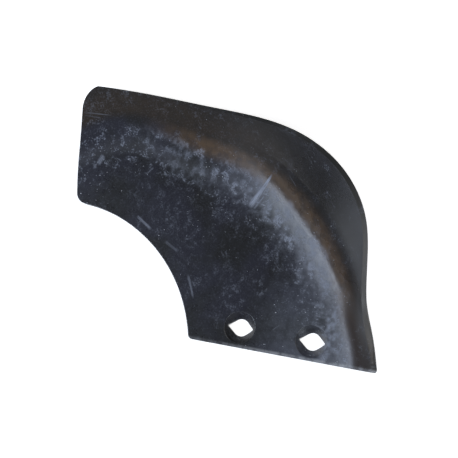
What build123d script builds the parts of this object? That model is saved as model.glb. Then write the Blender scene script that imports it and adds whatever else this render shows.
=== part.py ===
"""Skimmer mouldboard for a right-hand plough body.

One hot-pressed steel plate. The wing lies flat, and along a curved fold the shin and the crown rise out of it
as a scooped lip, which lifts the skimmed turf and throws it into the furrow. Two plough bolts with flush
countersunk heads and pointed necks hold it to the skimmer leg.

Millimetres and degrees. The plate lies on the flat back of its wing, with the working face up.
Origin: midway between the two bolt holes, on the back face. +X runs along the bolt line to the shin,
+Y towards the crown, +Z out of the working face.
"""

import os
from math import radians, sin

from build123d import *

# The lip is forged thinner towards its rim.
plate_thickness = 7.0
rim_thickness = 4.0

# Bolt holes: a round hole drawn out to a point on each side, under a conical seat.
bolt_spacing = 60.0
bolt_hole_radius = 7.0
bolt_point_reach = 10.6
bolt_point_radius = 0.9
bolt_seat_radius = 13.0
bolt_seat_angle = 90.0

# The lip is set out by templates that stand on the plate round one centre, like the pages of a book.
template_centre = Vector(-105.0, -25.0)
foot_angle = -5.0
tip_angle = 127.0
template_count = 17

# From the end of the flat wing a template eases up, folds, and runs out to the rim in a shallow scoop.
# Each size is given three times: at the foot of the shin, at the shoulder half-way round and at the
# tip of the wing. The rim leans to stand square to the sheet wholly at 1, and at 0 it is plumb.
ease_radius = (160.0, 200.0, 260.0)
ease_turn = (5.0, 8.0, 0.5)
fold_radius = (16.0, 26.0, 60.0)
fold_turn = (32.0, 36.0, 0.5)
rim_slope = (44.0, 67.0, 5.0)
rim_lean = (1.0, 1.0, 0.0)

# End of the flat wing, seen square to it, from below the foot round inside the fold to past the tip.
flat_points = (
    (54.0, -45.0),
    (47.0, 0.0),
    (22.0, 34.0),
    (-29.7, 82.5),
    (-92.7, 115.8),
    (-175.2, 125.4),
    (-226.0, 113.0),
)

# Rim of the lip, seen square to the wing: up the shin, round the shoulder and along the crown.
# It starts below the bottom edge and runs on past the wing, as the sheet does before it is trimmed.
rim_points = (
    (94.0, -45.0),
    (81.0, -8.3),
    (66.4, 30.9),
    (63.4, 66.0),
    (59.2, 96.0),
    (30.4, 132.6),
    (-16.1, 156.6),
    (-91.4, 170.9),
    (-166.0, 177.6),
    (-262.0, 173.0),
)

# Trimmed edges, seen square to the wing: the bottom edge, which climbs a little from the heel to the
# shin, the round relief that clears the leg, and the wing's end. Past the crown's corner the trimmed
# outline climbs clear of the rim at this slope.
bottom_slope = 0.9
heel = Vector(-70.6, -17.2)
relief_middle = Vector(-116.0, 51.8)
wing_corner = Vector(-193.3, 78.1)
wing_end_middle = Vector(-201.7, 123.0)
crown_corner = Vector(-205.4, 177.8)
heel_radius = 4.0
wing_corner_radius = 10.0
crown_corner_radius = 20.0
foot_corner_radius = 6.0
crown_clearance_slope = 4.0

# Before trimming, the wing reaches this much further than its corner.
wing_allowance = 20.0

# More than the plate measures across and through, for sight lines and cuts that have to pass clear of it.
clear_length = 400.0


def reach(curve, page):
    """Distance from a template's inner end out to where the template crosses a curve on the plate."""
    sight_line = Line(page.origin, page.origin + page.x_dir * clear_length, mode=Mode.PRIVATE)
    return (curve.intersect(sight_line)[0].center() - page.origin).length


def between(sizes, share):
    """Size at a share of the way round, on a smooth curve through the foot, shoulder and tip sizes."""
    at_foot, at_shoulder, at_tip = sizes
    return (
        at_foot * (1 - share) * (1 - 2 * share)
        + at_shoulder * 4 * share * (1 - share)
        + at_tip * share * (2 * share - 1)
    )


with BuildSketch() as bolt_hole:
    Circle(bolt_hole_radius)
    with GridLocations(2 * (bolt_point_reach - bolt_point_radius), 0, 2, 1):
        Circle(bolt_point_radius)
    make_hull()

with BuildLine():
    flat_curve = Spline(*flat_points)
    rim_curve = Spline(*rim_points)

with BuildPart() as mouldboard:
    # Lip: each template is the section of the plate from the end of the flat wing out to the rim.
    for number in range(template_count):
        share = number / (template_count - 1)
        angle = foot_angle + (tip_angle - foot_angle) * share
        page = Plane(
            template_centre,
            x_dir=Vector(1, 0, 0).rotate(Axis.Z, angle),
            z_dir=Vector(0, -1, 0).rotate(Axis.Z, angle),
        )
        flat_end = reach(flat_curve, page)
        ease = between(ease_radius, share)
        eased = between(ease_turn, share)
        fold = between(fold_radius, share)
        folded = eased + between(fold_turn, share)
        slope = between(rim_slope, share)
        scoop_start = flat_end + (ease - fold) * sin(radians(eased)) + fold * sin(radians(folded))
        scoop = (reach(rim_curve, page) - scoop_start) / (sin(radians(slope)) - sin(radians(folded)))
        with BuildSketch(page):
            with BuildLine():
                front = [JernArc((flat_end, plate_thickness), (1, 0), ease, eased)]
                front.append(JernArc(front[-1] @ 1, front[-1] % 1, fold, folded - eased))
                front.append(JernArc(front[-1] @ 1, front[-1] % 1, scoop, slope - folded))
                back = [JernArc((flat_end, 0), (1, 0), ease + plate_thickness, eased)]
                back.append(JernArc(back[-1] @ 1, back[-1] % 1, fold + plate_thickness, folded - eased))
                rim_front = front[-1] @ 1
                lean = slope * between(rim_lean, share)
                rim_back = rim_front + Vector(0, -rim_thickness).rotate(Axis.Z, lean)
                TangentArc(back[-1] @ 1, rim_back, tangent=back[-1] % 1)
                Line(front[0] @ 0, back[0] @ 0)
                Line(rim_front, rim_back)
            make_face()
    loft()

    # Wing: flat from the templates across to past its trimmed edges.
    wing_edge = mouldboard.faces().sort_by_distance(template_centre)[0].edges().group_by(Axis.Z)[0][0]
    with BuildSketch():
        with BuildLine():
            add(wing_edge)
            beyond_corner = wing_corner - (wing_allowance, wing_allowance)
            Polyline(wing_edge @ 0, template_centre, beyond_corner, wing_edge @ 1)
        make_face()
    extrude(amount=plate_thickness)

    # Trimmed edges. The rim is left as it is, and only its corner with the wing's end is trimmed round.
    with BuildSketch() as trim:
        with BuildLine():
            ThreePointArc(heel, relief_middle, wing_corner)
            ThreePointArc(wing_corner, wing_end_middle, crown_corner)
            clear_side = crown_corner + Vector(clear_length, 0).rotate(Axis.Z, crown_clearance_slope)
            clear_foot = heel + Vector(clear_length, 0).rotate(Axis.Z, bottom_slope)
            Polyline(crown_corner, clear_side, clear_foot, heel)
        make_face()
        fillet(trim.vertices().sort_by_distance(heel)[0], heel_radius)
        fillet(trim.vertices().sort_by_distance(wing_corner)[0], wing_corner_radius)
        fillet(trim.vertices().sort_by_distance(crown_corner)[0], crown_corner_radius)
    extrude(amount=clear_length, mode=Mode.INTERSECT)

    # Rounded corner where the rim meets the bottom edge.
    rim_ends = mouldboard.edges().filter_by(lambda edge: edge.length < 2 * rim_thickness)
    fillet(rim_ends.group_by(Axis.X)[-1], foot_corner_radius)

    # Bolt holes and their seats.
    with BuildSketch():
        with GridLocations(bolt_spacing, 0, 2, 1):
            add(bolt_hole.sketch)
    extrude(amount=plate_thickness, mode=Mode.SUBTRACT)
    with Locations(Plane.XY.offset(plate_thickness)):
        with GridLocations(bolt_spacing, 0, 2, 1):
            CounterSinkHole(bolt_hole_radius, bolt_seat_radius, counter_sink_angle=bolt_seat_angle)

mouldboard.part.label = "mouldboard"

os.makedirs("parts", exist_ok=True)
export_step(mouldboard.part, "parts/mouldboard.step")
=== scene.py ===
# %% [markdown]
# # Skimmer mouldboard
#
# A skimmer rides ahead of the plough body and skims off a thin slice of turf. Its mouldboard is one pressed
# steel plate: a flat wing, and a scooped lip along the shin and the crown that throws the slice into the
# furrow. It leaves the works in a thin coat of black paint. On this one, the paint is scuffed, dusty and
# rubbed.
#
# The solid comes from the imported frame. This script lights it, sets the camera where the photograph was taken
# from, builds the worn paint out of nodes, with painted reflections, highlights and shade laid into it, and
# scatters grains of dried soil over the plate.

from math import radians

import bpy
from mathutils import Matrix, Vector


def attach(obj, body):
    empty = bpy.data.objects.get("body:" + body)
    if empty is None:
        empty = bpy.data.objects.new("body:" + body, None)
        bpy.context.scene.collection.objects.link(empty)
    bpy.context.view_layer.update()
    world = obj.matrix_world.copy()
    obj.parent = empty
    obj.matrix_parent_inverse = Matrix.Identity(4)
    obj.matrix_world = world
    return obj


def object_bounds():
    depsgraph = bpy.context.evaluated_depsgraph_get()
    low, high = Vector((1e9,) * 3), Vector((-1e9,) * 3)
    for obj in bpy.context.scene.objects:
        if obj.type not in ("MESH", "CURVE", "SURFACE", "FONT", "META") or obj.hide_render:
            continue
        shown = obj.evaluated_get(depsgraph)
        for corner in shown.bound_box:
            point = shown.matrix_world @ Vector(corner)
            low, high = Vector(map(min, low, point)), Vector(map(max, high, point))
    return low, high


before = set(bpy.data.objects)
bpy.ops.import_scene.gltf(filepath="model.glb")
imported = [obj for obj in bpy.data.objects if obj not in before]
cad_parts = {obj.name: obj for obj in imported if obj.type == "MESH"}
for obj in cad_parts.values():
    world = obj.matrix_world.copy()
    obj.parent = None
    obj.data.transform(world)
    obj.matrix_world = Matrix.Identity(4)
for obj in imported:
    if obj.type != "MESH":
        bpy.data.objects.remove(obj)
cad_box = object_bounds()
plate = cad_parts["mouldboard"]
print("mouldboard", len(plate.data.vertices), "vertices, box", cad_box)

# %% [markdown]
# ## Camera
#
# The plate was photographed from above, turned a little on the table. The camera's place is solved from the
# two bolt holes: their distance in the picture gives how far off it stands, and the way the seats hide the
# pointed holes gives how far it leans over. A long lens keeps the perspective as flat as in the photograph.

# %% Camera
MM = 0.001
CAMERA_PLACE = Vector((184.0, -25.4, 860.5)) * MM
CAMERA_AIM = Vector((-55.5, 77.5, 7.0)) * MM
CAMERA_ROLL = radians(12.0)
LENS_MM = 85.0
SENSOR_MM = 36.0

camera_data = bpy.data.cameras.new("camera")
camera_data.lens = LENS_MM
camera_data.sensor_width = SENSOR_MM
camera = bpy.data.objects.new("camera", camera_data)
bpy.context.collection.objects.link(camera)

view_axis = (CAMERA_PLACE - CAMERA_AIM).normalized()
flat_view_axis = Matrix.Rotation(-CAMERA_ROLL, 3, "Z") @ view_axis
flat_up = Vector((0, 1, 0)) - flat_view_axis * flat_view_axis.y
up = Matrix.Rotation(CAMERA_ROLL, 3, "Z") @ flat_up.normalized()
right = up.cross(view_axis)
turned = Matrix((right, up, view_axis)).transposed().to_4x4()
camera.matrix_world = Matrix.Translation(CAMERA_PLACE) @ turned
bpy.context.scene.camera = camera
print("camera stands", round((CAMERA_PLACE - CAMERA_AIM).length, 3), "m from its aim")

# %% [markdown]
# ## Small tools for node trees
#
# Every mask in the finish is a little arithmetic on where a point lies. Clicked together by hand, such a sum
# becomes a wide web of Math nodes. These helpers take numbers or sockets alike and hand back a socket, so a
# mask reads like a formula. The smooth step is the one used most: it turns a distance into a soft edge.

# %% Node arithmetic
def feed(tree, socket, value):
    """Give a socket its value: a link where the value is a socket, a constant otherwise."""
    if isinstance(value, bpy.types.NodeSocket):
        tree.links.new(value, socket)
    else:
        socket.default_value = value


def calc(tree, operation, *values):
    node = tree.nodes.new("ShaderNodeMath")
    node.operation = operation
    for socket, value in zip(node.inputs, values):
        feed(tree, socket, value)
    return node.outputs[0]


def chained(tree, operation, values):
    """One operation over any number of values, such as their sum or the largest of them."""
    result = values[0]
    for value in values[1:]:
        result = calc(tree, operation, result, value)
    return result


def times(tree, *values):
    """The product. Of masks, it is where all of them are."""
    return chained(tree, "MULTIPLY", values)


def most(tree, *values):
    return chained(tree, "MAXIMUM", values)


def plus(tree, *values):
    return chained(tree, "ADD", values)


# %% Soft edges
MAP_RANGE_INPUTS = ("Value", "From Min", "From Max", "To Min", "To Max")


def rise(tree, value, span, at_low=0.0, at_high=1.0):
    """Smooth step: at_low before the span, at_high past it."""
    node = tree.nodes.new("ShaderNodeMapRange")
    node.interpolation_type = "SMOOTHSTEP"
    for name, setting in zip(MAP_RANGE_INPUTS, (value, *span, at_low, at_high)):
        feed(tree, node.inputs[name], setting)
    return node.outputs["Result"]


def fall(tree, value, span, at_low=1.0, at_high=0.0):
    return rise(tree, value, span, at_low=at_low, at_high=at_high)


def belt(tree, value, rising, falling):
    """1 between two soft edges, 0 on both sides."""
    return times(tree, rise(tree, value, rising), fall(tree, value, falling))


# %% New materials
def new_material(name):
    material = bpy.data.materials.new(name)
    material.use_nodes = True
    return material, material.node_tree, material.node_tree.nodes["Principled BSDF"]


# %% [markdown]
# ## Floor
#
# A plain white floor lies under the plate. Lamps bright enough to make it pure white would bleach the plate
# too, so the floor gets a glow that only the camera and mirrored rays see. The glow is added to the floor's
# own paint and doesn't replace it, so the plate's shadow stays.

# %% Floor
FLOOR_SIZE = 40.0
FLOOR_WHITE = (0.88, 0.88, 0.88, 1)
FLOOR_ROUGHNESS = 0.9
FLOOR_GLOW = 0.70
WHITE = (1, 1, 1, 1)


def seen_or_mirrored(tree):
    """1 for what is seen straight on, through or in a mirror, and 0 for the light that falls on things."""
    paths = tree.nodes.new("ShaderNodeLightPath").outputs
    return most(tree, paths["Is Camera Ray"], paths["Is Transmission Ray"], paths["Is Glossy Ray"])


def make_floor_material():
    material, tree, shader = new_material("floor_white")
    feed(tree, shader.inputs["Base Color"], FLOOR_WHITE)
    feed(tree, shader.inputs["Roughness"], FLOOR_ROUGHNESS)
    feed(tree, shader.inputs["Emission Color"], WHITE)
    feed(tree, shader.inputs["Emission Strength"], times(tree, seen_or_mirrored(tree), FLOOR_GLOW))
    return material


bpy.ops.mesh.primitive_plane_add(size=FLOOR_SIZE, location=(0, 0, cad_box[0].z))
floor = bpy.context.object
floor.name = "floor"
floor.data.materials.append(make_floor_material())
print("floor", FLOOR_SIZE, "m across, at height", cad_box[0].z)

# %% [markdown]
# ## Backdrop
#
# Black paint shows little of its own colour and a lot of what it mirrors, so the backdrop is part of the
# finish. The world's light is pale at the horizon and dim overhead, like the ceiling of a workshop. The flat
# wing mirrors the dim part when it is seen from above, and stays dark.

# %% Backdrop
HORIZON_LIGHT = 0.48
CEILING_LIGHT = 0.08
SKY_FADE = (0.03, 0.40)

world = bpy.data.worlds.new("studio")
world.use_nodes = True
sky = world.node_tree
background = sky.nodes["Background"]
direction = sky.nodes.new("ShaderNodeSeparateXYZ")
feed(sky, direction.inputs[0], sky.nodes.new("ShaderNodeTexCoord").outputs["Generated"])
sky_light = rise(sky, direction.outputs["Z"], SKY_FADE, at_low=HORIZON_LIGHT, at_high=CEILING_LIGHT)
feed(sky, background.inputs["Color"], WHITE)
feed(sky, background.inputs["Strength"], sky_light)
bpy.context.scene.world = world
bpy.context.scene.view_settings.view_transform = "Standard"
print("backdrop", HORIZON_LIGHT, "at the horizon,", CEILING_LIGHT, "overhead")

# %% [markdown]
# ## Lamps
#
# A softbox stands like a window off to the heel side. From the camera, the flat wing mirrors the dim ceiling
# beside it. Only the sheet that eases up into the fold tilts enough to mirror the softbox itself, as a bluish
# band along the fold. A weaker lamp in front of the bottom edge lights the bolt seats and the rim. It stands
# high, because a low one would lie as a white glare on the wing in views from behind. A large one overhead
# fills the shadows.

# %% Lamps
PLATE_MIDDLE = (cad_box[0] + cad_box[1]) / 2


def softbox(name, place, width, height, watts, color):
    """Soft light of a given size in metres, aimed at the middle of the plate."""
    data = bpy.data.lights.new(name, "AREA")
    data.shape = "RECTANGLE"
    data.size = width
    data.size_y = height
    data.energy = watts
    data.color = color
    lamp = bpy.data.objects.new(name, data)
    bpy.context.collection.objects.link(lamp)
    lamp.location = place
    lamp.rotation_mode = "QUATERNION"
    lamp.rotation_quaternion = (Vector(place) - PLATE_MIDDLE).to_track_quat("Z", "Y")
    return lamp


lamps = (
    softbox("window", (-0.90, -0.26, 0.90), width=0.58, height=0.58, watts=10.0, color=(0.73, 0.83, 1.0)),
    softbox("edge_lamp", (0.85, -0.95, 0.95), width=0.90, height=0.50, watts=7.0, color=(0.82, 0.90, 1.0)),
    softbox("overhead", (0.9, 0.9, 1.6), width=1.2, height=1.2, watts=12.0, color=(1.0, 0.98, 0.95)),
)
for lamp in lamps:
    print(lamp.name, lamp.data.energy, "W")

# %% [markdown]
# ## Where a point lies
#
# Everything in the finish follows the way the plate was pressed, the way soil slides over it and, for the
# painted light and shade, how far the sheet has turned up. Painting a picture of it onto the plate would
# stretch on the steep lip, so the paint is worked out from each point's own place instead. The fold is nearly a
# circle round one centre, a little wider at both ends. How far a point lies outside that circle says whether it
# is wing, fold or lip, and its turn round the centre says how far along it lies: 0 degrees near the foot of the
# shin, 45 at the shoulder, past 100 at the tip.

# %% Vector arithmetic
LEVEL = (1, 1, 0)


def vector_calc(tree, operation, *values, scale=None):
    """Vector arithmetic. A length or a dot product comes back as a number, the rest as a vector."""
    node = tree.nodes.new("ShaderNodeVectorMath")
    node.operation = operation
    for socket, value in zip(node.inputs, values):
        feed(tree, socket, value)
    if scale is not None:
        node.inputs["Scale"].default_value = scale
    return node.outputs["Value" if operation in ("LENGTH", "DOT_PRODUCT") else "Vector"]


def parts_of(tree, vector):
    node = tree.nodes.new("ShaderNodeSeparateXYZ")
    feed(tree, node.inputs[0], vector)
    return node.outputs


def level_offset(tree, place, start):
    """From a start to a place, as seen square to the wing."""
    return vector_calc(tree, "MULTIPLY", vector_calc(tree, "SUBTRACT", place, start), LEVEL)


# %% Place on the plate
FOLD_CENTRE = (-105.0, -25.0, 0.0)
FOLD_RADIUS = 168.0
FLARE_AT_FOOT = 7.0
FLARE_AT_TIP = 23.0
FOOT_FLARE_TURNS = (2, 18)
TIP_FLARE_TURNS = (82, 114)
FRONT_FACING = (0.08, 0.25)

# The finish holds wear and dust, and also painted reflections, highlights and shade.
worn_paint_and_painted_light, coat, paint_shader = new_material("worn_black_paint_and_painted_light")
source = coat.nodes.new("ShaderNodeTexCoord")
place = vector_calc(coat, "SCALE", source.outputs["Object"], scale=1 / MM)
from_centre = level_offset(coat, place, FOLD_CENTRE)
centre_parts = parts_of(coat, from_centre)
turn = calc(coat, "DEGREES", calc(coat, "ARCTAN2", centre_parts["Y"], centre_parts["X"]))
tip_flare = rise(coat, turn, TIP_FLARE_TURNS, at_high=FLARE_AT_TIP)
foot_flare = fall(coat, turn, FOOT_FLARE_TURNS, at_low=FLARE_AT_FOOT)
past_circle = calc(coat, "SUBTRACT", vector_calc(coat, "LENGTH", from_centre), FOLD_RADIUS)
outside = calc(coat, "SUBTRACT", past_circle, plus(coat, tip_flare, foot_flare))
front = rise(coat, parts_of(coat, source.outputs["Normal"])["Z"], FRONT_FACING)
outward = vector_calc(coat, "NORMALIZE", from_centre)
facing_out = vector_calc(coat, "DOT_PRODUCT", source.outputs["Normal"], outward)
print("fold circle", FOLD_RADIUS, "mm round", FOLD_CENTRE)

# %% [markdown]
# ## Grain
#
# Nothing on worn paint is even. Four noises break up every layer: wide clouds, a mottle of about a
# centimetre, fine speckle, and long wisps that are drawn out along the wing. A mask that is multiplied by one
# of them gets a ragged, natural edge, and layers that share a noise wear through in the same spots.

# %% Grain
WISP_STRETCH = (1.0, 0.55, 1.0)


def grain(tree, place, scale, detail, roughness=0.55):
    """Noise whose features are about 1 / scale across, in the units of place."""
    node = tree.nodes.new("ShaderNodeTexNoise")
    feed(tree, node.inputs["Vector"], place)
    feed(tree, node.inputs["Scale"], scale)
    feed(tree, node.inputs["Detail"], detail)
    feed(tree, node.inputs["Roughness"], roughness)
    return node.outputs["Fac"]


cloud = grain(coat, place, scale=0.022, detail=3)
mottle = grain(coat, place, scale=0.16, detail=6)
speckle = grain(coat, place, scale=0.75, detail=4, roughness=0.7)
wisp_place = vector_calc(coat, "MULTIPLY", place, WISP_STRETCH)
wisps = grain(coat, wisp_place, scale=0.075, detail=7, roughness=0.68)
print("grain and place take", len(coat.nodes), "nodes")

# %% [markdown]
# ## Black coat
#
# The bare coat is nearly black, with a blue cast in wide clouds over the wing, where the paint has chalked in
# the weather. The lip is kept clean by the soil, and its warmer black is a painted warm reflection. Fine pale
# specks lie over all of it.
# Each layer from here on is a colour and a mask, laid over the ones before as paint would be.

# %% Black coat
PAINT_BLACK = (0.0135, 0.0135, 0.0145, 1)
PAINT_BLUE = (0.0205, 0.0208, 0.0300, 1)
LIP_BLACK_WARM_REFLECTION = (0.0150, 0.0128, 0.0112, 1)
CHALK_AND_SHEEN = (0.2900, 0.3200, 0.3950, 1)
BLUE_CLOUDS = (0.38, 0.62)
LIP_START = (-2, 8)
PALE_SPECKS = (0.50, 0.72)
PALE_SPECK_STRENGTH = 0.10


def blend(tree, share, first, second):
    node = tree.nodes.new("ShaderNodeMix")
    node.data_type = "RGBA"
    settings = {"Factor_Float": share, "A_Color": first, "B_Color": second}
    for socket in node.inputs:
        if socket.identifier in settings:
            feed(tree, socket, settings[socket.identifier])
    return next(socket for socket in node.outputs if socket.identifier == "Result_Color")


wing_color = blend(coat, rise(coat, cloud, BLUE_CLOUDS), PAINT_BLACK, PAINT_BLUE)
lip = times(coat, front, rise(coat, outside, LIP_START))
# The lip's warmer black is a painted warm reflection.
color = blend(coat, lip, wing_color, LIP_BLACK_WARM_REFLECTION)
pale_specks = times(coat, rise(coat, speckle, PALE_SPECKS), PALE_SPECK_STRENGTH)
color = blend(coat, pale_specks, color, CHALK_AND_SHEEN)
print("black coat: from", PAINT_BLACK[:3], "to", PAINT_BLUE[:3])

# %% [markdown]
# ## Painted warm reflection and painted shade in the fold
#
# A rusty brown line is painted along the fold: a painted reflection of warm surroundings where the sheet
# turns up. It thins out over the lip of the crown and gives way to a dull, darker painted shade at the foot of
# the shin. The mottle breaks the brown into patches.

# %% Painted warm reflection
REFLECTION_BROWN = (0.0900, 0.0580, 0.0350, 1)
FOLD_REFLECTION_IN = (-12, -2)
FOLD_REFLECTION_OUT = (1, 12)
FOLD_REFLECTION_TIP_TURNS = (84, 106)
FOLD_REFLECTION_FOOT_TURNS = (4, 26)
FOLD_REFLECTION_AT_FOOT = 0.25
CROWN_REFLECTION_IN = (0, 9)
CROWN_REFLECTION_OUT = (16, 34)
CROWN_REFLECTION_TURNS = (52, 74)
CROWN_REFLECTION_STRENGTH = 0.20
REFLECTION_PATCHES = (0.30, 0.62)
REFLECTION_BETWEEN_PATCHES = 0.50

# Painted reflection: warm brown along the fold and over the crown's lip.
fold_reflection = times(
    coat,
    belt(coat, outside, FOLD_REFLECTION_IN, FOLD_REFLECTION_OUT),
    fall(coat, turn, FOLD_REFLECTION_TIP_TURNS),
    rise(coat, turn, FOLD_REFLECTION_FOOT_TURNS, at_low=FOLD_REFLECTION_AT_FOOT),
)
crown_belt = belt(coat, outside, CROWN_REFLECTION_IN, CROWN_REFLECTION_OUT)
crown_reflection = times(coat, crown_belt, rise(coat, turn, CROWN_REFLECTION_TURNS), CROWN_REFLECTION_STRENGTH)
reflection_patches = rise(coat, mottle, REFLECTION_PATCHES, at_low=REFLECTION_BETWEEN_PATCHES)
warm_reflection = times(coat, front, most(coat, fold_reflection, crown_reflection), reflection_patches)
color = blend(coat, warm_reflection, color, REFLECTION_BROWN)

# %% Painted shade at the foot
FOOT_SHADE_BROWN = (0.0280, 0.0200, 0.0170, 1)
FOOT_SHADE_IN = (-6, 2)
FOOT_SHADE_OUT = (8, 16)
FOOT_SHADE_TURNS = (14, 30)
FOOT_SHADE_STRENGTH = 0.80

# Painted shade: dark brown where the fold's highlight ends at the foot of the shin.
foot_belt = belt(coat, outside, FOOT_SHADE_IN, FOOT_SHADE_OUT)
foot_shade = times(coat, front, foot_belt, fall(coat, turn, FOOT_SHADE_TURNS))
color = blend(coat, times(coat, foot_shade, FOOT_SHADE_STRENGTH), color, FOOT_SHADE_BROWN)
print("stains laid,", len(coat.nodes), "nodes so far")

# %% [markdown]
# ## Painted reflection on the shin and painted shade on the rim
#
# The shin's lip gets a dull grey, wider towards the foot: a painted reflection of bright surroundings, which
# the steep sheet mirrors at a grazing angle. The cut end of the rim, which faces outwards, is painted near
# black as shade, except near the foot, where the grey reaches it.

# %% Painted reflection on the shin
SHIN_REFLECTION_GREY = (0.1150, 0.1110, 0.1070, 1)
SHIN_START = (2, 16)
SHIN_END = (32, 50)
SHIN_REFLECTION_START = (7, 20)
WIDER_AT_FOOT = 6.0
WIDER_TURNS = (12, 28)
SHIN_REFLECTION_STRENGTH = 0.85

# Painted reflection: grey on the steep lip of the shin, wider towards the foot.
shin_reflection_width = plus(coat, outside, fall(coat, turn, WIDER_TURNS, at_low=WIDER_AT_FOOT))
shin_reflection = times(coat, front, belt(coat, turn, SHIN_START, SHIN_END), rise(coat, shin_reflection_width, SHIN_REFLECTION_START))
color = blend(coat, times(coat, shin_reflection, SHIN_REFLECTION_STRENGTH), color, SHIN_REFLECTION_GREY)

# %% Painted shade on the rim
RIM_SHADE_BLACK = (0.0060, 0.0060, 0.0060, 1)
RIM_FACING = (0.05, 0.25)
RIM_START = (12, 18)
RIM_SHADE_TURNS = (26, 46)
RIM_SHADE_AT_FOOT = 0.15

# Painted shade: the rim's cut end is laid near black, less so near the foot.
rim_end = times(coat, front, rise(coat, facing_out, RIM_FACING), rise(coat, outside, RIM_START))
rim_shade = times(coat, rim_end, rise(coat, turn, RIM_SHADE_TURNS, at_low=RIM_SHADE_AT_FOOT))
color = blend(coat, rim_shade, color, RIM_SHADE_BLACK)
print("shin and rim laid,", len(coat.nodes), "nodes so far")

# %% [markdown]
# ## Scratches and smears
#
# A scuff is a bundle of fine parallel streaks between two points on the wing. One recipe draws them all, so
# it is a node group: it measures how far along and beside its line a point lies, softens the sides and the
# ends, and lets a noise that is stretched along the line cut it into streaks. A long pale scratch crosses the
# fold's chalk, small ones lie by the relief, and wide ones stand for chalk that was dragged along the fold.

# %% Stroke group
STROKE_INPUTS = (
    ("Place", "Vector"),
    ("Start", "Vector"),
    ("End", "Vector"),
    ("Half Width", "Float"),
    ("Taper", "Float"),
)
UPRIGHT = (0, 0, 1)
STROKE_SIDES = (0.30, 1.0)
STROKE_BEGINS = (0.0, 0.20)
STROKE_ENDS = (0.80, 1.0)
STREAKS_ALONG = 0.10
STREAKS_ACROSS = 1.3
STREAK_GAPS = (0.30, 0.54)


def make_stroke_group():
    group = bpy.data.node_groups.new("stroke", "ShaderNodeTree")
    for name, kind in STROKE_INPUTS:
        group.interface.new_socket(name, in_out="INPUT", socket_type="NodeSocket" + kind)
    group.interface.new_socket("Mask", in_out="OUTPUT", socket_type="NodeSocketFloat")
    given = group.nodes.new("NodeGroupInput").outputs

    offset = level_offset(group, given["Place"], given["Start"])
    run = vector_calc(group, "SUBTRACT", given["End"], given["Start"])
    ahead = vector_calc(group, "NORMALIZE", run)
    sideways = vector_calc(group, "CROSS_PRODUCT", ahead, UPRIGHT)
    along = vector_calc(group, "DOT_PRODUCT", offset, ahead)
    across = vector_calc(group, "DOT_PRODUCT", offset, sideways)
    share = calc(group, "DIVIDE", along, vector_calc(group, "LENGTH", run))

    narrowed = calc(group, "SUBTRACT", 1.0, times(group, given["Taper"], share))
    half_width = times(group, given["Half Width"], narrowed)
    beside = calc(group, "DIVIDE", calc(group, "ABSOLUTE", across), half_width)
    ends = belt(group, share, STROKE_BEGINS, STROKE_ENDS)
    body = times(group, fall(group, beside, STROKE_SIDES), ends)

    streak_place = group.nodes.new("ShaderNodeCombineXYZ")
    feed(group, streak_place.inputs["X"], times(group, along, STREAKS_ALONG))
    feed(group, streak_place.inputs["Y"], times(group, across, STREAKS_ACROSS))
    streaks = rise(group, grain(group, streak_place.outputs[0], scale=1.0, detail=3), STREAK_GAPS)
    feed(group, group.nodes.new("NodeGroupOutput").inputs["Mask"], times(group, body, streaks))
    return group


# %% Scratches and smears
# Each stroke has its start, its end, its half width, its taper and its strength. Lengths are in millimetres.
SCRATCHES = {
    "long scratch": ((-43.0, 97.0), (-27.0, 128.5), 3.8, 0.72, 1.0),
    "scratch beside it": ((-38.5, 96.5), (-31.0, 110.0), 1.0, 0.2, 0.45),
    "smudge near the wing's end": ((-182.0, 113.0), (-178.5, 122.5), 3.0, 0.0, 0.42),
    "line near the crown": ((-203.0, 155.5), (-176.0, 156.5), 0.8, 0.3, 0.22),
    "second line near the crown": ((-203.0, 153.0), (-186.0, 153.0), 0.5, 0.0, 0.16),
    "upper relief scuff": ((-137.5, 75.5), (-121.5, 65.5), 1.6, 0.0, 0.40),
    "middle relief scuff": ((-108.5, 58.5), (-94.0, 51.0), 1.8, 0.2, 0.16),
    "lower relief scuff": ((-82.5, 35.0), (-73.0, 15.0), 1.4, 0.2, 0.30),
    "hairline on the shoulder": ((-12.0, 128.0), (-4.0, 119.0), 0.5, 0.0, 0.20),
    "mark between the bolt holes": ((-3.5, 2.0), (3.0, 8.5), 0.8, 0.0, 0.22),
}
SMEARS = {
    "along the crown": ((-112.0, 145.0), (-74.0, 129.0), 6.0, 0.1, 0.62),
    "into the shoulder": ((-84.0, 133.0), (-42.0, 100.0), 7.5, 0.2, 0.72),
    "inside the shoulder": ((-30.0, 106.0), (4.0, 68.0), 9.5, 0.2, 0.78),
    "inside the shin": ((10.0, 62.0), (41.0, 38.0), 9.0, 0.3, 0.72),
    "near the tip": ((-146.0, 150.0), (-116.0, 132.0), 5.0, 0.2, 0.45),
    "over the middle of the wing": ((-24.0, 44.0), (-16.0, 28.0), 7.0, 0.0, 0.34),
}
SMEAR_MOTTLE = (0.46, 0.58)
SMEAR_SPECKLE = (0.34, 0.56)


def draw_strokes(tree, place, group, strokes):
    """All the strokes of one kind in one mask, each at its own strength."""
    total = 0.0
    for start, end, half_width, taper, strength in strokes.values():
        stroke = tree.nodes.new("ShaderNodeGroup")
        stroke.node_tree = group
        feed(tree, stroke.inputs["Place"], place)
        feed(tree, stroke.inputs["Start"], (*start, 0))
        feed(tree, stroke.inputs["End"], (*end, 0))
        feed(tree, stroke.inputs["Half Width"], half_width)
        feed(tree, stroke.inputs["Taper"], taper)
        total = most(tree, total, times(tree, stroke.outputs["Mask"], strength))
    return total


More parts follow.
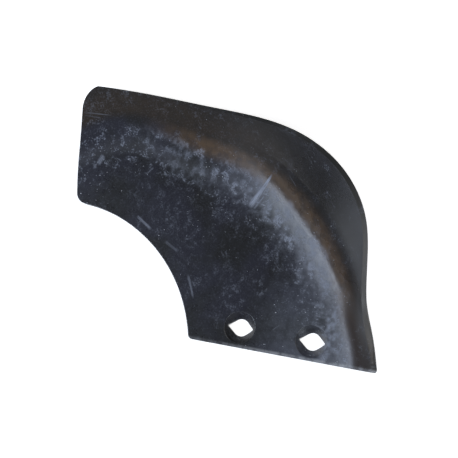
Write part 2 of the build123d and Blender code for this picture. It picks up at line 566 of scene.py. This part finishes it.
stroke_group = make_stroke_group()
scratches = draw_strokes(coat, place, stroke_group, SCRATCHES)
crumbled = times(coat, rise(coat, mottle, SMEAR_MOTTLE), rise(coat, speckle, SMEAR_SPECKLE))
smears = times(coat, draw_strokes(coat, place, stroke_group, SMEARS), crumbled)
strokes = times(coat, front, most(coat, scratches, smears))
print(len(SCRATCHES), "scratches and", len(SMEARS), "smears")

# %% [markdown]
# ## Chalky dust, painted highlight and painted sheen
#
# A pale, bluish film lies just inside the fold, patchy and drawn out along its way: partly chalk left by the
# slice of turf and partly a painted highlight on the band that mirrors the window. Round it lie crumbs of dust,
# thinner over the rest of the wing, and a faint painted sheen lightens the black between the bolt holes. All of
# it has one colour, so the largest of the masks wins at each point.

# %% Chalky film and painted highlight
HIGHLIGHT_FILM_IN = (-42, -14)
HIGHLIGHT_FILM_OUT = (-7, 0)
HIGHLIGHT_FILM_TIP_TURNS = (84, 118)
HIGHLIGHT_FILM_MOTTLE = (0.38, 0.60)
HIGHLIGHT_FILM_BETWEEN_MOTTLE = 0.16
HIGHLIGHT_FILM_WISPS = (0.40, 0.66)
HIGHLIGHT_FILM_BETWEEN_WISPS = 0.12
HIGHLIGHT_FILM_SHOULDER_TURNS = (26, 58)
HIGHLIGHT_FILM_AT_SHOULDER = 0.74
HIGHLIGHT_FILM_OFF_FOOT_SHADE = (0.0, 0.7)
HIGHLIGHT_FILM_STRENGTH = 0.68

# Partly chalk, partly a painted highlight along the band inside the fold.
highlight_film = times(
    coat,
    front,
    belt(coat, outside, HIGHLIGHT_FILM_IN, HIGHLIGHT_FILM_OUT),
    fall(coat, turn, HIGHLIGHT_FILM_TIP_TURNS),
    rise(coat, mottle, HIGHLIGHT_FILM_MOTTLE, at_low=HIGHLIGHT_FILM_BETWEEN_MOTTLE),
    rise(coat, wisps, HIGHLIGHT_FILM_WISPS, at_low=HIGHLIGHT_FILM_BETWEEN_WISPS),
    fall(coat, turn, HIGHLIGHT_FILM_SHOULDER_TURNS, at_high=HIGHLIGHT_FILM_AT_SHOULDER),
    fall(coat, foot_shade, HIGHLIGHT_FILM_OFF_FOOT_SHADE),
    HIGHLIGHT_FILM_STRENGTH,
)

# %% Dust
DUST_IN = (-58, -22)
DUST_OUT = (-9, -1)
DUST_STRENGTH = 0.60
CRUMB_MOTTLE = (0.50, 0.62)
CRUMB_SPECKLE = (0.46, 0.60)
CRUMB_CLOUDS = (0.50, 0.62)
STRAY_CRUMBS = 0.30
STRAY_WISPS = (0.54, 0.68)
STRAY_WISP_SPECKLE = (0.40, 0.62)
STRAY_WISP_STRENGTH = 0.34

crumbs = times(coat, rise(coat, mottle, CRUMB_MOTTLE), rise(coat, speckle, CRUMB_SPECKLE))
dust_belt = times(coat, belt(coat, outside, DUST_IN, DUST_OUT), crumbs)
stray_crumbs = times(coat, rise(coat, cloud, CRUMB_CLOUDS), crumbs, STRAY_CRUMBS)
stray_speckle = rise(coat, speckle, STRAY_WISP_SPECKLE)
stray_wisps = times(coat, rise(coat, wisps, STRAY_WISPS), stray_speckle, STRAY_WISP_STRENGTH)
dust = times(coat, front, most(coat, dust_belt, stray_crumbs, stray_wisps), DUST_STRENGTH)

# %% Painted sheen between the bolt holes
SHEEN_IN = (-88, -46)
SHEEN_OUT = (-30, -8)
SHEEN_TURNS = (18, 42)
SHEEN_MOTTLE = (0.25, 0.65)
SHEEN_BETWEEN_MOTTLE = 0.45
SHEEN_STRENGTH = 0.12

# Painted sheen: a faint pale glow on the black between the bolt holes.
painted_sheen = times(
    coat,
    front,
    belt(coat, outside, SHEEN_IN, SHEEN_OUT),
    fall(coat, turn, SHEEN_TURNS),
    rise(coat, mottle, SHEEN_MOTTLE, at_low=SHEEN_BETWEEN_MOTTLE),
    SHEEN_STRENGTH,
)
# One pale colour for the chalk and dust and for the painted highlight and sheen.
chalk_and_sheen = most(coat, highlight_film, dust, strokes, painted_sheen)
color = blend(coat, chalk_and_sheen, color, CHALK_AND_SHEEN)
print("chalk laid,", len(coat.nodes), "nodes so far")

# %% [markdown]
# ## Worn edges and painted edge highlight
#
# Paint wears off sharp edges first and shows grey steel. A Bevel node gives the normal that the surface would
# have if its edges were rounded. Where that differs from the true normal, there is an edge, and the same
# normal makes the crisp edges of the solid catch the light like rounded ones. Along the bottom edge, the same
# grey is laid as a painted highlight, a brighter line found by how far a point lies above it.

# %% Worn edges
EDGE_WEAR_AND_HIGHLIGHT_GREY = (0.2600, 0.2650, 0.2800, 1)
EDGE_RADIUS = 0.9 * MM
EDGE_SAMPLES = 6
EDGE_SQUARENESS = (0.80, 0.98)
EDGE_MOTTLE = (0.36, 0.56)
EDGE_OUT = (6, 12)
EDGE_STRENGTH = 0.70

eased = coat.nodes.new("ShaderNodeBevel")
eased.samples = EDGE_SAMPLES
feed(coat, eased.inputs["Radius"], EDGE_RADIUS)
true_normal = coat.nodes.new("ShaderNodeNewGeometry").outputs["Normal"]
squareness = vector_calc(coat, "DOT_PRODUCT", eased.outputs[0], true_normal)
edge = times(
    coat,
    fall(coat, squareness, EDGE_SQUARENESS),
    rise(coat, mottle, EDGE_MOTTLE),
    fall(coat, outside, EDGE_OUT),
    EDGE_STRENGTH,
)
color = blend(coat, edge, color, EDGE_WEAR_AND_HIGHLIGHT_GREY)

# %% Painted highlight on the bottom edge
BOTTOM_CLIMB = 0.0157
BOTTOM_HEIGHT = -16.1
BOTTOM_HIGHLIGHT_SPAN = (1.2, 3.2)
BOTTOM_MOTTLE = (0.36, 0.54)
BOTTOM_BETWEEN_MOTTLE = 0.30
BOTTOM_TOWARDS_SHIN = (-70, 20)
BOTTOM_AT_HEEL = 0.35
BOTTOM_STRENGTH = 0.80

place_parts = parts_of(coat, place)
bottom_line = plus(coat, times(coat, place_parts["X"], BOTTOM_CLIMB), BOTTOM_HEIGHT)
above_bottom = calc(coat, "SUBTRACT", place_parts["Y"], bottom_line)
# Painted highlight: a light line along the bottom edge.
bottom_highlight = times(
    coat,
    front,
    fall(coat, above_bottom, BOTTOM_HIGHLIGHT_SPAN),
    rise(coat, mottle, BOTTOM_MOTTLE, at_low=BOTTOM_BETWEEN_MOTTLE),
    rise(coat, place_parts["X"], BOTTOM_TOWARDS_SHIN, at_low=BOTTOM_AT_HEEL),
    BOTTOM_STRENGTH,
)
color = blend(coat, bottom_highlight, color, EDGE_WEAR_AND_HIGHLIGHT_GREY)
print("edges eased by", EDGE_RADIUS / MM, "mm in the shading")

# %% [markdown]
# ## Gloss
#
# Fresh paint is glossy, and dust and weather make it dull, as do the painted shade at the foot and the rim's
# cut end. Where the roughness rises, the window's mirror image spreads out and fades. That is why the tip, the
# crown and the foot stay dark in the picture while the band inside the fold shines.

# %% Gloss
PAINT_ROUGHNESS = 0.22
MOTTLE_DULLS = 0.14
CHALK_AND_SHEEN_DULLS = 0.35
TIP_DULLS = 0.75
DULL_TIP_TURNS = (56, 92)
DULL_TIP_IN = (-34, -6)
GLOSSY_LIP_TURNS = (40, 64)
LIP_SHINES = 0.11
RIM_DULLS = 0.45
FOOT_SHADE_DULLS = 0.60

dull_tip = times(coat, rise(coat, turn, DULL_TIP_TURNS), rise(coat, outside, DULL_TIP_IN), front)
glossy_lip = times(coat, lip, fall(coat, turn, GLOSSY_LIP_TURNS))
roughness = plus(
    coat,
    PAINT_ROUGHNESS,
    times(coat, mottle, MOTTLE_DULLS),
    times(coat, chalk_and_sheen, CHALK_AND_SHEEN_DULLS),
    times(coat, dull_tip, TIP_DULLS),
    times(coat, glossy_lip, -LIP_SHINES),
    times(coat, rim_end, RIM_DULLS),
    times(coat, foot_shade, FOOT_SHADE_DULLS),
)
print("roughness starts at", PAINT_ROUGHNESS)

# %% [markdown]
# ## Uneven sheet
#
# A hot-pressed sheet is never quite flat: it waves a little, and it sags into the fold. The modelled fold is
# slightly crisper than the real one, so a shallow dish in the shading widens the ease inside it. The dish is
# a parabola up to the fold and a straight slope just past it. It is wider at the foot and fades out along the
# crown. Bump nodes read heights in millimetres here, because their distance is one millimetre.

# %% Dish inside the fold
DISH_SLOPE = 0.23
DISH_WIDTH = 54.0
DISH_WIDTH_AT_FOOT = 112.0
DISH_WIDENS = (4, 36)
DISH_ENDS_OUT = 14.0
DISH_FADES = (50, 94)

dish_width = fall(coat, turn, DISH_WIDENS, at_low=DISH_WIDTH_AT_FOOT, at_high=DISH_WIDTH)
up_to_fold = plus(coat, calc(coat, "MINIMUM", outside, 0.0), dish_width)
into_dish = most(coat, up_to_fold, 0.0)
parabola = calc(coat, "DIVIDE", calc(coat, "POWER", into_dish, 2.0), dish_width)
past_fold = most(coat, calc(coat, "MINIMUM", outside, DISH_ENDS_OUT), 0.0)
profile = plus(coat, times(coat, parabola, DISH_SLOPE / 2), times(coat, past_fold, DISH_SLOPE))
dish = times(coat, profile, front, fall(coat, turn, DISH_FADES))

# %% Waves and roughness of the sheet
CLOUD_HEIGHT = 0.9
MOTTLE_HEIGHT = 0.22
SPECKLE_HEIGHT = 0.030
WAVE_STRENGTH = 0.55


def bumped(tree, height, normal, strength=1.0):
    """Normal bent by a height in millimetres."""
    bump = tree.nodes.new("ShaderNodeBump")
    feed(tree, bump.inputs["Strength"], strength)
    feed(tree, bump.inputs["Distance"], MM)
    feed(tree, bump.inputs["Height"], height)
    feed(tree, bump.inputs["Normal"], normal)
    return bump.outputs[0]


waves = plus(
    coat,
    times(coat, mottle, MOTTLE_HEIGHT),
    times(coat, speckle, SPECKLE_HEIGHT),
    times(coat, cloud, CLOUD_HEIGHT),
)
dished_normal = bumped(coat, dish, eased.outputs[0])
surface_normal = bumped(coat, waves, dished_normal, strength=WAVE_STRENGTH)

# %% Put the paint on the plate
feed(coat, paint_shader.inputs["Base Color"], color)
feed(coat, paint_shader.inputs["Roughness"], roughness)
feed(coat, paint_shader.inputs["Normal"], surface_normal)
for slot in plate.material_slots:
    slot.material = worn_paint_and_painted_light
print("worn paint has", len(coat.nodes), "nodes")

# %% [markdown]
# ## Dried soil grit
#
# Grains of pale dried soil stick to the plate, most of them in clumps just inside the fold, where the slice
# turns over. Painted dots would look flat, and placing grains by hand would take hours. So Geometry Nodes
# scatters them: points on the plate's own faces, thinned out by a mask like the paint's, and a small rough
# stone on each. Modelled grains catch the light as specks from every side.

# %% Where grit sticks
GRIT_IN = (-52, -16)
GRIT_OUT = (-4, 8)
CLUMP_SCALE = 0.09
CLUMPS = (0.46, 0.62)
STRAY_GRIT = 0.10
UP_FACING = (0.45, 0.60)


def grit_density(tree, full_density):
    """Grains to the square metre at each point of the plate."""
    position = tree.nodes.new("GeometryNodeInputPosition").outputs[0]
    place = vector_calc(tree, "SCALE", position, scale=1 / MM)
    distance = vector_calc(tree, "LENGTH", level_offset(tree, place, FOLD_CENTRE))
    past_fold_circle = calc(tree, "SUBTRACT", distance, FOLD_RADIUS)
    facing = parts_of(tree, tree.nodes.new("GeometryNodeInputNormal").outputs[0])["Z"]
    clumps = rise(tree, grain(tree, place, CLUMP_SCALE, detail=4), CLUMPS)
    in_belt = times(tree, belt(tree, past_fold_circle, GRIT_IN, GRIT_OUT), clumps)
    thick = most(tree, in_belt, times(tree, clumps, STRAY_GRIT))
    return times(tree, thick, rise(tree, facing, UP_FACING), full_density)


# %% Grit tree
GRIT_INPUTS = (("Plate", "Geometry"), ("Density", "Float"), ("Grain Radius", "Float"), ("Seed", "Int"))
SMALLEST_STONE = (0.35, 0.35, 0.25)
LARGEST_STONE = (1.35, 1.10, 0.70)


def make_grit_tree(material):
    tree = bpy.data.node_groups.new("grit", "GeometryNodeTree")
    for name, kind in GRIT_INPUTS:
        tree.interface.new_socket(name, in_out="INPUT", socket_type="NodeSocket" + kind)
    tree.interface.new_socket("Grit", in_out="OUTPUT", socket_type="NodeSocketGeometry")
    given = tree.nodes.new("NodeGroupInput").outputs

    scatter = tree.nodes.new("GeometryNodeDistributePointsOnFaces")
    feed(tree, scatter.inputs["Mesh"], given["Plate"])
    feed(tree, scatter.inputs["Density"], grit_density(tree, given["Density"]))
    feed(tree, scatter.inputs["Seed"], given["Seed"])

    stone = tree.nodes.new("GeometryNodeMeshIcoSphere")
    feed(tree, stone.inputs["Radius"], given["Grain Radius"])
    feed(tree, stone.inputs["Subdivisions"], 1)
    proportions = tree.nodes.new("FunctionNodeRandomValue")
    proportions.data_type = "FLOAT_VECTOR"
    feed(tree, proportions.inputs[0], SMALLEST_STONE)
    feed(tree, proportions.inputs[1], LARGEST_STONE)
    feed(tree, proportions.inputs["Seed"], given["Seed"])
    stones = tree.nodes.new("GeometryNodeInstanceOnPoints")
    feed(tree, stones.inputs["Points"], scatter.outputs["Points"])
    feed(tree, stones.inputs["Instance"], stone.outputs["Mesh"])
    feed(tree, stones.inputs["Rotation"], scatter.outputs["Rotation"])
    feed(tree, stones.inputs["Scale"], proportions.outputs[0])

    real = tree.nodes.new("GeometryNodeRealizeInstances")
    feed(tree, real.inputs[0], stones.outputs[0])
    finish = tree.nodes.new("GeometryNodeSetMaterial")
    feed(tree, finish.inputs["Geometry"], real.outputs[0])
    finish.inputs["Material"].default_value = material
    feed(tree, tree.nodes.new("NodeGroupOutput").inputs["Grit"], finish.outputs[0])
    return tree


# %% [markdown]
# Dried soil is matt and varies from grain to grain, so its shade comes from a noise wider than one grain. The
# scatter runs on a copy of the plate's mesh. Its result is then made a plain mesh of its own, because the
# export keeps meshes and drops live modifiers and instances. Only the soil's own material slot is kept.

# %% Grit
GRAINS_PER_SQUARE_METRE = 42000.0
GRAIN_RADIUS = 0.42 * MM
GRIT_SEED = 7
SOIL_DARK = (0.17, 0.18, 0.21, 1)
SOIL_LIGHT = (0.52, 0.54, 0.60, 1)
SOIL_SCALE = 0.35
SOIL_SHADES = (0.35, 0.65)
SOIL_ROUGHNESS = 0.85


def make_soil_material():
    material, tree, shader = new_material("dried_soil")
    object_place = tree.nodes.new("ShaderNodeTexCoord").outputs["Object"]
    place = vector_calc(tree, "SCALE", object_place, scale=1 / MM)
    shade = rise(tree, grain(tree, place, SOIL_SCALE, detail=4), SOIL_SHADES)
    feed(tree, shader.inputs["Base Color"], blend(tree, shade, SOIL_DARK, SOIL_LIGHT))
    feed(tree, shader.inputs["Roughness"], SOIL_ROUGHNESS)
    return material


def scatter_grit():
    soil = make_soil_material()
    tree = make_grit_tree(soil)
    scatterer = bpy.data.objects.new("grit_scatterer", plate.data.copy())
    bpy.context.collection.objects.link(scatterer)
    modifier = scatterer.modifiers.new("grit", "NODES")
    modifier.node_group = tree
    settings = {"Density": GRAINS_PER_SQUARE_METRE, "Grain Radius": GRAIN_RADIUS, "Seed": GRIT_SEED}
    for socket in tree.interface.items_tree:
        if socket.name in settings:
            modifier[socket.identifier] = settings[socket.name]
    evaluated = scatterer.evaluated_get(bpy.context.evaluated_depsgraph_get())
    stones = bpy.data.meshes.new_from_object(evaluated)
    stones.materials.clear()
    stones.materials.append(soil)
    stones.polygons.foreach_set("material_index", [0] * len(stones.polygons))
    grit = bpy.data.objects.new("dried_soil_grit", stones)
    bpy.context.collection.objects.link(grit)
    bpy.data.objects.remove(scatterer)
    return grit


grit = scatter_grit()
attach(grit, "root")
print("grit has", len(grit.data.polygons), "faces")
